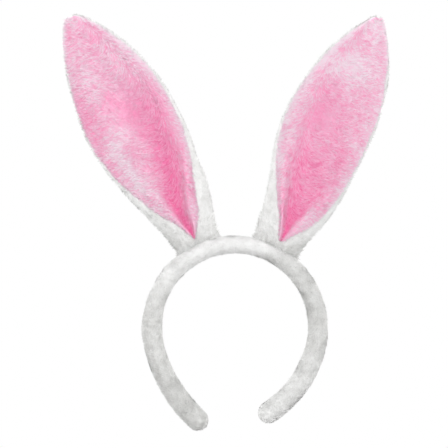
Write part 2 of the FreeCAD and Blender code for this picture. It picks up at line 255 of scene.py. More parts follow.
def plush(name, stops, mottle, fibre_scale, sheen, tint, bump=0.5):
    """Short pile: its colour goes from pale to deep by the tone attribute, with mottling."""
    shading = Shading(name)
    tone = shading.node("Attribute", {}, "Color", attribute_name="tone")
    deep = shading.node("SeparateColor", {"Color": tone}, "Red")
    blotches = shading.texture("TexNoise", {"Scale": 140.0, "Detail": 4.0})
    fine = shading.texture("TexNoise", {"Scale": fibre_scale, "Detail": 5.0})
    deep = shading.maths("ADD", deep, shading.varied(blotches, mottle))
    deep = shading.maths("ADD", deep, shading.varied(fine, mottle * 0.8))
    return shading.shader({
        "Base Color": shading.colours(deep, stops), "Roughness": shading.uneven(fine, 0.88),
        "Normal": shading.bump(fine, bump, 0.6 * MM), "Specular IOR Level": 0.18,
        "Sheen Weight": sheen, "Sheen Roughness": 0.45, "Sheen Tint": (*tint, 1.0)})


def thread_material(name, colour, dark):
    """Twisted sewing thread."""
    shading = Shading(name)
    twist = shading.texture("TexWave", {"Scale": 900.0, "Distortion": 2.0})
    return shading.shader({
        "Base Color": shading.colours(twist, [(0.0, dark), (1.0, colour)]), "Roughness": 0.7,
        "Normal": shading.bump(twist, 0.4, 0.2 * MM)})


def grained_material(name, colour, dark, scale, roughness, metallic=0.0, bump=0.3):
    """Foam, plastic, glue, wire or wadding: a grain of its own scale."""
    shading = Shading(name)
    grain = shading.texture("TexNoise", {"Scale": scale, "Detail": 4.0})
    return shading.shader({
        "Base Color": shading.colours(grain, [(0.3, dark), (0.7, colour)]), "Metallic": metallic,
        "Roughness": shading.uneven(grain, roughness), "Normal": shading.bump(grain, bump, 0.4 * MM)})


# colours from the palest pile to the deepest
WHITE_STOPS = [(0.0, (0.91, 0.91, 0.905)), (0.5, (0.68, 0.68, 0.665)), (1.0, (0.40, 0.40, 0.39))]
PINK_STOPS = [
    (0.0, (0.97, 0.82, 0.90)), (0.1, (0.97, 0.72, 0.84)), (0.2, (0.97, 0.61, 0.77)),
    (0.45, (0.97, 0.46, 0.67)), (0.75, (0.96, 0.30, 0.54)), (1.0, (0.90, 0.18, 0.41)),
]
WHITE_SHEEN, PINK_SHEEN = (0.4, (1.0, 1.0, 1.0)), (0.08, (1.0, 0.72, 0.86))
white_skin = plush("white_plush_skin", WHITE_STOPS, 0.35, 900.0, *WHITE_SHEEN)
white_pile = plush("white_plush_pile", WHITE_STOPS, 0.25, 700.0, *WHITE_SHEEN, bump=0.1)
pink_skin = plush("pink_plush_skin", PINK_STOPS, 0.25, 900.0, *PINK_SHEEN)
pink_pile = plush("pink_plush_pile", PINK_STOPS, 0.2, 700.0, *PINK_SHEEN, bump=0.1)
white_thread = thread_material("white_thread", (0.85, 0.85, 0.84), (0.6, 0.6, 0.6))
pink_thread = thread_material("pink_thread", (0.97, 0.72, 0.82), (0.90, 0.50, 0.66))
# the CAD nodes that stay, by a word in their names
CARRIED = {
    "band_core": grained_material(
        "springy_plastic", (0.05, 0.05, 0.055), (0.03, 0.03, 0.03), scale=500.0, roughness=0.5),
    "foam": grained_material(
        "open_cell_foam", (0.88, 0.85, 0.76), (0.7, 0.66, 0.56), scale=1100.0, roughness=0.9, bump=0.8),
    "glue": grained_material(
        "hot_melt_glue", (0.86, 0.86, 0.84), (0.77, 0.77, 0.75), scale=260.0, roughness=0.4),
}
wadding_material = grained_material(
    "wadding", (0.92, 0.92, 0.90), (0.75, 0.75, 0.73), scale=380.0, roughness=0.95, bump=0.9)
wire_material = grained_material(
    "soft_steel_wire", (0.55, 0.55, 0.57), (0.4, 0.4, 0.42), scale=1500.0, roughness=0.35, metallic=1.0,
    bump=0.1)


# -------- pile

# a lock of pile is seven points: three pairs along its length and its tip
STAGES = (0.0, 0.38, 0.74, 1.0)
STAGE_WIDTHS = (0.5, 0.55, 0.36, 0.0)
STEPS = np.repeat(STAGES, (2, 2, 2, 1))
# how far under the skin the locks start, and the size of the swirls that they lie in
ROOT_DEPTH = 0.25 * MM
SWIRL_SIZE = 5.5 * MM
# the tone of a plush cloth's lining
LINING_TONE = 0.4


def ridges(points, seed, size):
    """Wavy rows of crushed pile, which run sideways, as noise; its rows are painted as shade in the pile's
    gaps.
    """
    bent = points[:, 2] + 1.5 * size * noise(points, 6.0 * size, seed)
    rows = np.stack([points[:, 0] * 0.25, points[:, 1] * 0.25, bent], 1)
    return noise(rows, size, seed + 1)


def pile(name, skin, count, length, width, lift, heading, wave, spread, shade, uneven, tilt, ridge,
         seed, material):
    """Tapered curved locks of pile rooted on a skin's outer faces.

    skin holds the points, quads, tones, outward normals and clipping of the surface that carries
    the pile; clipping is a factor on the locks' length and on their contrast. heading gives the
    direction that the locks lie in, for an array of points; wave and spread turn them from it, in
    radians, in swirls and one by one. shade is painted shade among the locks: how much darker a
    lock is painted at its root than at its middle. uneven is how much the locks differ at random,
    ridge the painted shade of the gaps between rows of crushed pile at an array of points, and tilt
    how far each lock's shading leans sideways.
    """
    rng = np.random.default_rng(seed)
    points, quads, tones, normals, clipping = skin
    corner = points[quads]
    area = np.linalg.norm(np.cross(corner[:, 2] - corner[:, 0], corner[:, 3] - corner[:, 1]), axis=1)
    chosen = rng.choice(len(quads), count, p=area / area.sum())
    u, v = rng.random((2, count))
    weights = np.stack([(1 - u) * (1 - v), u * (1 - v), u * v, (1 - u) * v], 1)[..., None]
    root = (points[quads[chosen]] * weights).sum(1)
    out = unit((normals[quads[chosen]] * weights).sum(1))
    deep = (tones[quads[chosen]] * weights[..., 0]).sum(1)
    kept = (clipping[quads[chosen]] * weights[..., 0]).sum(1)[:, None]
    swirl = wave * noise(root, SWIRL_SIZE, seed + 1) + spread * rng.normal(size=count)
    lie = heading(root)
    lie = unit(lie - out * (lie * out).sum(1, keepdims=True))
    across = np.cross(out, lie)
    lie = lie * np.cos(swirl)[:, None] + across * np.sin(swirl)[:, None]
    across = np.cross(out, lie)
    size = length * kept * rng.uniform(0.6, 1.25, count)[:, None]
    wide = width * rng.uniform(0.6, 1.3, count)[:, None]
    rise = lift * rng.uniform(0.5, 1.4, count)[:, None]
    curl = size * 0.22 * rng.normal(size=(count, 1))
    rings = []
    for s, share in zip(STAGES, STAGE_WIDTHS):
        centre = root - out * ROOT_DEPTH * (1.0 - s) + lie * size * s ** 1.25
        # a lock rises quickly and then runs level
        centre = centre + out * rise * math.sin(math.pi * min(0.5, s * 0.72)) + across * curl * s * s
        rings.append(centre - across * wide * share)
        if s < 1.0:
            rings.append(centre + across * wide * share)
    blades = np.stack(rings, 1)
    base = np.arange(count)[:, None] * len(STEPS)
    quad_set = np.concatenate([base + np.array([1, 0, 2, 3]), base + np.array([3, 2, 4, 5])])
    triangles = base + np.array([5, 4, 6])
    # painted shade: each lock darker at its root and paler at its tip, and darker in the gaps between rows
    # of pile
    contrast = shade * (1.2 - 1.8 * STEPS)[None, :] + uneven * rng.normal(size=(count, 1))
    contrast = contrast + ridge(root)[:, None]
    tone = np.clip(deep[:, None] + kept * contrast, 0.0, 1.0).reshape(-1, 1)
    # shaded mostly as the skin is, so that the locks blend into one soft surface
    soft = out[:, None, :] + lie[:, None, :] * 0.4 * (STEPS - 0.35)[None, :, None]
    soft = unit(soft + across[:, None, :] * tilt * rng.normal(size=(count, 1, 1))).reshape(-1, 3)
    return make_mesh(name, blades.reshape(-1, 3), quad_set, triangles, tone, soft, material)


def skin_normals(points, quads):
    corner = points[quads]
    face = np.cross(corner[:, 2] - corner[:, 0], corner[:, 3] - corner[:, 1])
    total = np.zeros_like(points)
    for k in range(4):
        np.add.at(total, quads[:, k], face)
    return unit(total)


def rumple(points, normals, seed, lump, crush):
    """Uneven padding and the crushed clumps of short pile."""
    shift = layered_noise(points, (lump, 24.0, seed), (lump * 0.5, 11.0, seed + 1),
                          (crush, 4.2, seed + 2), (crush * 0.6, 2.1, seed + 3))
    return points + normals * shift[:, None]


# -------- camera, light and floor

low, high = (np.array(corner) for corner in cad_box)
middle = (low + high) / 2.0
DISTANCE = 1.6
FRAME_WIDTH = 0.3494
# the middle of the photo, from the middle of the object's box
AIM_X, AIM_Z = -3.2 * MM, -0.5 * MM
SENSOR = 36.0
# names, places, sizes in metres and powers in watts
LIGHTS = [
    ("key", (-0.30, -1.45, 1.15), 0.7, 18.0),
    ("fill", (0.9, -1.3, 0.35), 0.9, 5.0),
    ("back", (0.2, 1.5, 1.0), 0.9, 9.0),
    ("left_rim", (-1.4, 0.7, -0.1), 0.8, 13.0),
    ("right_rim", (1.4, 0.7, -0.1), 0.8, 13.0),
]
ROOM_LIGHT = 0.5
FLOOR_RADIUS, FLOOR_DROP = 0.6, 0.1
camera_data = bpy.data.cameras.new("camera")
camera_data.sensor_width = SENSOR
camera_data.lens = SENSOR * DISTANCE / FRAME_WIDTH
camera = add_object("camera", camera_data)
camera.location = (middle[0] + AIM_X, middle[1] - DISTANCE, middle[2] + AIM_Z)
camera.rotation_euler = (math.radians(90.0), 0.0, 0.0)
bpy.context.scene.camera = camera


def area_light(name, place, size, power):
    data = bpy.data.lights.new(name, "AREA")
    data.shape = "DISK"
    data.size = size
    data.energy = power
    light = add_object(name, data)
    light.location = place
    light.rotation_euler = (Vector(middle) - Vector(place)).to_track_quat("-Z", "Y").to_euler()


def soft_room():
    """Even white light from all round, in front of a white ground."""
    world = bpy.data.worlds.new("soft_room")
    world.use_nodes = True
    nodes, links = world.node_tree.nodes, world.node_tree.links
    light, ground = nodes["Background"], nodes.new("ShaderNodeBackground")
    for shader, strength in ((light, ROOM_LIGHT), (ground, 1.0)):
        shader.inputs["Color"].default_value = (1.0, 1.0, 1.0, 1.0)
        shader.inputs["Strength"].default_value = strength
    mix = nodes.new("ShaderNodeMixShader")
    links.new(nodes.new("ShaderNodeLightPath").outputs["Is Camera Ray"], mix.inputs["Fac"])
    links.new(light.outputs["Background"], mix.inputs[1])
    links.new(ground.outputs["Background"], mix.inputs[2])
    links.new(mix.outputs["Shader"], nodes["World Output"].inputs["Surface"])
    bpy.context.scene.world = world
    bpy.context.scene.view_settings.view_transform = "Standard"


def pale_floor(radius, drop, steps=96):
    """A plain round floor under the object."""
    turn = np.linspace(0.0, 2.0 * math.pi, steps, endpoint=False)
    rim = np.stack([radius * np.cos(turn), radius * np.sin(turn), np.full(steps, low[2] - drop)], 1)
    points = np.concatenate([rim, [[0.0, 0.0, low[2] - drop]]])
    fans = fan_faces(np.arange(steps), steps)
    material = Shading("pale_floor").shader({"Base Color": (0.9, 0.9, 0.9, 1.0), "Roughness": 0.9})
    make_mesh("floor", points, (), fans, material=material)


for light in LIGHTS:
    area_light(*light)
soft_room()
pale_floor(FLOOR_RADIUS, FLOOR_DROP)


# -------- the band

CORE_HALF = 0.9 * MM
# the middle line of the plastic strip is a circle over the head
BAND_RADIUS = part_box("band_core_crown")[1][2] - CORE_HALF
BEND = math.radians(105.0)
# below the bend each arm runs on in a flatter arc: its radius and its length
BOW = {"left": 114.0 * MM, "right": 85.0 * MM}
TAIL = {"left": 74.4 * MM, "right": 71.4 * MM}
# half sizes of the band's oval section at the top, beside the head and at the tips
THICK = (6.9 * MM, 8.0 * MM, 9.0 * MM)
WIDE = (8.5 * MM, 9.3 * MM, 10.0 * MM)
# painted shade: how dark the pile is painted at distances along each half, in mm from the top; paler at the
# top, where the light falls from above, and darker down the arms
PAINTED_BAND_SHADE = {
    "left": [(0, -0.12), (30, 0.06), (60, 0.16), (100, 0.44), (150, 0.46), (175, 0.54), (200, 0.46)],
    "right": [(0, -0.12), (30, 0.20), (55, 0.44), (100, 0.44), (150, 0.30), (200, 0.18)],
}
PILE_DEPTH = 0.6 * MM
SKIN_THICK = 1.0 * MM
RING = 76
BODY_RINGS, TIP_RINGS = 230, 18
SIDE_RUN = BAND_RADIUS * math.pi / 2.0
SEAM_PITCH, SEAM_THREAD = 3.2 * MM, 0.3 * MM
KNOT_SPOKES, KNOT_RADIUS, KNOT_THREAD = 6, 1.8 * MM, 0.28 * MM


def tip_run(side):
    return BAND_RADIUS * BEND + TAIL[side]


def band_frame(side, run):
    """Points, tangents and outward normals along the band, at distances from its top."""
    run = np.asarray(run, float)
    past = np.maximum(run - BAND_RADIUS * BEND, 0.0) / BOW[side]
    angle = np.minimum(run / BAND_RADIUS, BEND) + past
    zero = np.zeros_like(angle)
    tangent = np.stack([SIGN[side] * np.cos(angle), zero, -np.sin(angle)], -1)
    normal = np.stack([SIGN[side] * np.sin(angle), zero, np.cos(angle)], -1)
    bow_centre = np.array([SIGN[side] * math.sin(BEND), 0.0, math.cos(BEND)]) * (BAND_RADIUS - BOW[side])
    on_bow = (past > 0.0)[..., None]
    return np.where(on_bow, bow_centre + normal * BOW[side], normal * BAND_RADIUS), tangent, normal


def half_sizes(side, run):
    stops = [0.0, SIDE_RUN, tip_run(side)]
    return np.interp(run, stops, THICK), np.interp(run, stops, WIDE)


def band_ring(side, run, scale, inset):
    """Rings of points round the band, one row for each distance."""
    centre, _, normal = band_frame(side, run)
    thick, wide = half_sizes(side, run)
    angle = np.linspace(0.0, 2.0 * math.pi, RING, endpoint=False) * SIGN[side]
    depth = ((wide - inset) * scale)[:, None] * np.sin(angle)[None, :]
    outward = ((thick - inset) * scale)[:, None] * np.cos(angle)[None, :]
    across = np.array([0.0, -1.0, 0.0])
    return centre[:, None, :] + normal[:, None, :] * outward[..., None] + across * depth[..., None]


def band_rows(side, inset):
    """Distances along the band and how much each ring shrinks into the rounded tip."""
    end = tip_run(side) - inset
    round_start = end - (THICK[2] - inset)
    body = np.linspace(0.0, round_start, BODY_RINGS)
    turn = np.radians(np.linspace(0.0, 88.0, TIP_RINGS)[1:])
    tip = round_start + (end - round_start) * np.sin(turn)
    return np.concatenate([body, tip]), np.concatenate([np.ones(len(body)), np.cos(turn)])


def band_tone(side, run, skin):
    """How dark the sleeve is painted: painted shade down the arm and on the side towards the head near the
    top, and random small blotches.
    """
    # painted shade along the arm: paler at the top, darker down the arms
    painted_shade = smooth_table(PAINTED_BAND_SHADE[side], run / MM)
    round_ring = np.linspace(0.0, 2.0 * math.pi, RING, endpoint=False)
    inward = np.tile(0.5 - 0.5 * np.cos(round_ring), len(run))
    near_top = 1.0 - ramp(np.repeat(run, RING), 60.0 * MM, 120.0 * MM)
    # painted shade on the side towards the head, near the top of the band
    tone = np.repeat(painted_shade, RING) + 0.16 * (inward - 0.5) * near_top
    return tone + layered_noise(skin, (0.09, 9.0, 31), (0.06, 3.0, 32), (0.03, 1.6, 33))


def band_cover(side):
    """One half of the plush sleeve, from the top of the band to its closed tip."""
    run, scale = band_rows(side, PILE_DEPTH)
    outer = band_ring(side, run, scale, PILE_DEPTH).reshape(-1, 3)
    rows = len(run)
    quads = grid_faces(rows, RING, wrap=True)
    normals = skin_normals(outer, quads)
    outer = rumple(outer, normals, 11, 0.35 * MM, 0.22 * MM)
    # the sewn seam draws the sleeve in along the head's side
    groove = np.exp(-((np.arange(RING) - RING // 2) / 1.4) ** 2)
    outer = outer - normals * (np.tile(groove, rows) * 0.5 * MM)[:, None]
    run_in, scale_in = band_rows(side, PILE_DEPTH + SKIN_THICK)
    inner = band_ring(side, run_in, scale_in, PILE_DEPTH + SKIN_THICK).reshape(-1, 3)
    count = rows * RING
    rim = np.arange(RING)
    following = np.roll(rim, -1)
    rim_quads = np.stack([rim, rim + count, following + count, following], 1)
    centre, tangent, _ = band_frame(side, tip_run(side) - PILE_DEPTH)
    poles = [centre, centre - tangent * SKIN_THICK]
    last = count - RING + rim
    fans = [fan_faces(last, 2 * count), fan_faces(count + last, 2 * count + 1, flip=True)]
    points = np.concatenate([outer, inner, poles])
    faces = np.concatenate([quads, grid_faces(rows, RING, count, True, True), rim_quads])
    tone = band_tone(side, run, outer)
    tones = np.clip(np.concatenate([tone, np.full(count + 2, LINING_TONE)]), 0.0, 1.0)[:, None]
    cover = make_mesh(f"{side}_band_cover", points, faces, np.concatenate(fans), tones, None, white_skin)
    # the pile is shorter over the gathered tip
    from_tip = tip_run(side) - run
    clipping = np.repeat(0.25 + 0.75 * ramp(from_tip, 6.0 * MM, 16.0 * MM), RING)
    return cover, (outer, quads, tone, skin_normals(outer, quads), clipping)


def arm_blend(piece):
    """Bakes a piece's placement into its mesh."""
    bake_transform(piece)


def tube_mesh(name, path, radius, sides, material):
    """A round thread or wire along a line of points, with closed ends."""
    path = np.asarray(path, float)
    tangent = unit(np.gradient(path, axis=0))
    side_way = unit(np.cross(tangent, np.array([0.13, 1.0, 0.21])))
    up = np.cross(side_way, tangent)
    angle = np.linspace(0.0, 2.0 * math.pi, sides, endpoint=False)[None, :, None]
    ring = side_way[:, None, :] * np.cos(angle) + up[:, None, :] * np.sin(angle)
    ring = (path[:, None, :] + radius * ring).reshape(-1, 3)
    count = len(path) * sides
    bulge = tangent * radius * 0.6
    points = np.concatenate([ring, path[:1] - bulge[:1], path[-1:] + bulge[-1:]])
    rim = np.arange(sides)
    ends = np.concatenate([fan_faces(rim, count, flip=True), fan_faces(count - sides + rim, count + 1)])
    return make_mesh(name, points, grid_faces(len(path), sides, wrap=True), ends, material=material)


def stitch_path(first, last, bow, steps=7):
    """One stitch: a short arc from point to point, standing up a little in the middle."""
    t = np.linspace(0.0, 1.0, steps)[:, None]
    return first + (last - first) * t + bow * np.sin(math.pi * t)


def sewn(name, lines, radius, material, sides=6):
    """Stitches along the given lines, as one piece."""
    stitches = [tube_mesh(f"{name}_{k}", line, radius, sides, material) for k, line in enumerate(lines)]
    row = stitches[0]
    with bpy.context.temp_override(active_object=row, selected_editable_objects=stitches):
        bpy.ops.object.join()
    row.name = row.data.name = name
    return row


def band_heading(points):
    """The band's pile is brushed one way, over the top from the left tip to the right one."""
    radius = np.maximum(np.hypot(points[:, 0], points[:, 2]), MM)
    return np.stack([points[:, 2] / radius, np.full(len(points), 0.25), -points[:, 0] / radius], 1)


def white_gap_shade(share):
    """Painted shade of soft rows of gaps in the white pile, as dark as the given share."""
    return lambda points: share * ridges(points, 45, 1.6 * MM)


def sleeve_seam(side):
    """The closing seam: a row of small stitches along the head's side, which ends before the tip."""
    lines = []
    for k in range(int((tip_run(side) - 14.0 * MM) / SEAM_PITCH)):
        run = np.array([k + 0.2, k + 0.8]) * SEAM_PITCH
        centre, _, normal = band_frame(side, run)
        sunk = PILE_DEPTH + 0.25 * MM
        place = centre - normal * (half_sizes(side, run)[0] - sunk)[:, None]
        lines.append(stitch_path(place[0], place[1], -normal[0] * 0.35 * MM))
    return sewn(f"{side}_sleeve_seam", lines, SEAM_THREAD, white_thread)


def tip_stitches(side):
    """Gathering stitches that cross over the closed tip."""
    lines = []
    centre, tangent, normal = band_frame(side, tip_run(side) - 1.2 * MM)
    for k in range(KNOT_SPOKES):
        angle = math.pi * k / KNOT_SPOKES
        spoke = KNOT_RADIUS * (normal * math.cos(angle) + np.array([0.0, math.sin(angle), 0.0]))
        lines.append(stitch_path(centre - spoke, centre + spoke, tangent * 1.1 * MM))
    return sewn(f"{side}_tip_stitches", lines, KNOT_THREAD, white_thread)


for side in SIDES:
    cover, skin = band_cover(side)
    hair = pile(
        f"{side}_band_pile", skin, count=17000, length=2.4 * MM, width=0.5 * MM, lift=0.55 * MM,
        heading=band_heading, wave=1.3, spread=0.6, shade=0.11, uneven=0.10, tilt=0.25,
        ridge=white_gap_shade(0.12), seed=41 + SIDES.index(side), material=white_pile)
    seam, knot = sleeve_seam(side), tip_stitches(side)
    for piece in (cover, hair, seam):
        arm_blend(piece)
    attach(knot, f"{side}_arm")
    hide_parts(f"sleeve_{side}", "sleeve_crown")
    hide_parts(f"sleeve_seam_{side}", "sleeve_seam_crown")
    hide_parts(f"tip_stitches_{side}")


# -------- the ears

LEAN = {"left": 28.0, "right": 24.0}
TURN = {"left": 4.0, "right": -9.0}
SHARE = {"left": 1.006, "right": 0.967}
EAR_TOP = 202.0
# the tip's rows of points close up above this height
TIP_START, TIP_STEPS = 188.0, 24


def both_ears(heights, left, right):
    """A table for each ear, over the same heights up the ear in mm."""
    return {"left": list(zip(heights, left)), "right": list(zip(heights, right))}


# height up the ear in mm against half its width, and how far its middle stands to the right
HALF_WIDTH = both_ears(
    (-8, 0, 12, 30, 61, 84, 101, 120, 141, 161, 182, 192, EAR_TOP),
    left=(17.0, 17.2, 19.6, 25.0, 31.8, 35.8, 36.9, 36.0, 32.4, 26.7, 17.6, 11.6, 0.0),
    right=(18.6, 19.4, 21.4, 25.9, 32.2, 35.4, 36.3, 35.6, 32.1, 26.4, 16.6, 10.4, 0.0))
MIDDLE_SHIFT = {
    "left": [(-8, 1.4), (0, 2.0), (12, 2.8), (36, 2.9), (46, 2.4), (60, 1.0), (84, 0.4), (100, 0.0),
             (150, 0.0), (182, -1.5), (EAR_TOP, -2.9)],
    "right": [(-8, -0.8), (0, -0.8), (12, -0.2), (24, 1.5), (40, 2.2), (52, 1.7), (62, 0.8), (76, -0.5),
              (140, -0.6), (165, 0.0), (EAR_TOP, -0.2)],
}
# share of the half width that the pink panel reaches on each side, the lower x side first; the two
# sum to a little under 0 below the panel's point, where the white panel's edges meet
PINK_HEIGHTS = (-8, 2, 5, 12, 20, 30, 44, 60, 84, 121, EAR_TOP)
PINK_LOW = both_ears(
    PINK_HEIGHTS,
    left=(0.05, 0.05, 0.11, 0.28, 0.41, 0.62, 0.75, 0.86, 0.93, 0.95, 0.93),
    right=(-0.19, -0.19, -0.05, 0.12, 0.29, 0.50, 0.71, 0.87, 0.93, 0.945, 0.93))
PINK_HIGH = both_ears(
    PINK_HEIGHTS,
    left=(-0.10, -0.10, -0.02, 0.18, 0.39, 0.51, 0.63, 0.81, 0.89, 0.94, 0.92),
    right=(0.14, 0.14, 0.22, 0.43, 0.61, 0.75, 0.84, 0.91, 0.955, 0.95, 0.92))
# the hollow of the cup lies between two shoulders: where each stands, in mm across the ear from its
# middle, and over how many mm it rolls down into the hollow, the lower x side first
SHOULDERS = {
    "left": (
        [(5, 0.4), (12, -0.8), (20, -2.6), (28, -3.4), (46, -3.8), (60, 0.0), (85, 1.5), (115, -5.0),
         (150, -12.0), (EAR_TOP, -4.0)],
        [(5, 1.4), (12, 3.6), (20, 4.4), (28, 5.6), (36, 8.0), (46, 12.4), (56, 16.6), (68, 20.4),
         (84, 23.5), (107, 27.0), (140, 24.0), (EAR_TOP, 4.0)],
    ),
    "right": (
        [(5, 1.4), (12, 0.4), (20, -2.3), (36, -6.8), (46, -9.4), (56, -12.2), (72, -17.2), (111, -25.0),
         (150, -21.0), (EAR_TOP, -3.0)],
        [(5, 2.6), (12, 3.8), (20, 5.8), (28, 8.4), (36, 12.4), (44, 16.5), (60, 20.0), (80, 20.0),
         (115, 17.0), (150, 14.0), (EAR_TOP, 4.0)],
    ),
}
# where the pile parts, as a share of the way from the lower x shoulder to the other one
PARTING = {"left": 0.75, "right": 0.15}
INNER_ROLL = [(5, 0.6), (20, 2.2), (33, 3.4), (56, 5.2), (80, 7.5), (110, 9.5), (150, 10.0), (EAR_TOP, 3.0)]
OUTER_ROLL = [(5, 0.6), (20, 2.4), (33, 4.0), (45, 6.0), (60, 10.0), (85, 13.0), (150, 14.0),
              (EAR_TOP, 4.0)]
# depths in mm, towards the front: the widest line, and half depths behind and in front of it
WIDEST_LINE = [(-8, -3.5), (0, -3.0), (20, -0.5), (61, 1.5), (110, 2.2), (160, 0.5), (EAR_TOP, -3.0)]
BACK_DEPTH = [(-8, 4.0), (0, 5.5), (20, 8.5), (61, 9.5), (110, 9.0), (160, 6.5), (190, 4.0), (EAR_TOP, 1.5)]
FRONT_DEPTH = [(-8, 5.0), (0, 6.5), (20, 7.0), (50, 7.0), (81, 5.5), (130, 4.0), (190, 3.0), (EAR_TOP, 1.2)]
PADDING = [(-8, 11.5), (10, 13.0), (20, 13.0), (45, 12.0), (75, 9.2), (110, 6.4), (160, 4.4), (190, 3.2),
           (EAR_TOP, 1.6)]
CREST = [(5, 0.2), (20, 1.4), (50, 2.6), (81, 2.4), (120, 1.2), (160, 0.4), (EAR_TOP, 0.0)]
# painted shade in the cup's hollow: how much deeper the pink is painted there, at heights up the ear in mm
HOLLOW_SHADE = both_ears(
    (0, 14, 30, 50, 75, 100, 130, 150, EAR_TOP),
    left=(0.80, 0.74, 0.62, 0.54, 0.44, 0.30, 0.17, 0.03, 0.0),
    right=(0.80, 0.76, 0.55, 0.37, 0.25, 0.18, 0.12, -0.02, 0.0))
# how much paler the pile is along the pink panel's lower x edge and its other edge
EDGE_PALE = {
    "left": ([(60, 0.0), (160, 0.02), (188, 0.20), (EAR_TOP, 0.35)],
             [(50, 0.0), (90, 0.10), (130, 0.18), (160, 0.32), (EAR_TOP, 0.45)]),
    "right": ([(40, 0.0), (80, 0.18), (120, 0.22), (150, 0.40), (EAR_TOP, 0.45)],
              [(50, 0.0), (90, 0.04), (160, 0.08), (188, 0.25), (EAR_TOP, 0.40)]),
}
# areas where the tone is painted paler (below 0) or deeper: painted highlights along the crest of the left
# ear's outer lobe and over the upper middle of both ears, and patches where the pile is brushed paler or
# deeper; middle across and up, reach across and up in mm, and the change of tone
BRUSHED_AND_HIGHLIGHTS = {
    "left": [(-9, 42, 3.5, 9, -0.18), (-14, 56, 4, 9, -0.22), (-18.5, 72, 4, 11, -0.26),
             (-21, 90, 4, 12, -0.22), (-13, 99, 16, 7, -0.12), (-13, 150, 9, 14, -0.10),
             (17, 150, 8, 11, -0.14), (8, 134, 8, 8, -0.08), (14, 112, 15, 24, 0.10),
             (-30, 112, 5, 28, 0.15), (-25, 134, 8, 14, 0.16), (-9, 80, 5, 12, 0.08),
             (-3, 178, 9, 12, 0.10), (-4, 203, 16, 7, -0.22)],
    "right": [(15, 32, 5, 9, -0.06), (-4, 154, 19, 12, -0.24), (8, 135, 12, 12, -0.06),
              (0, 192, 10, 8, -0.16), (-16, 178, 6, 12, -0.14), (20, 80, 4, 12, 0.14),
              (-13, 113, 9, 9, 0.14), (30, 60, 5, 20, -0.08), (-24, 84, 6, 40, -0.14),
              (-8, 60, 5, 14, 0.06), (0, 203, 16, 7, -0.16)],
}
# areas where the pile is pressed flat and smooth: middle and reach across and up, in mm
PRESSED = {"left": (2, 114, 17, 22), "right": (-8, 110, 12, 13)}


def soft_spot(x, height, x_middle, height_middle, x_reach, height_reach):
    """1 in the middle of an area of the ear, fading to 0 round it."""
    return np.exp(-((x - x_middle) / x_reach) ** 2 - ((height - height_middle) / height_reach) ** 2)


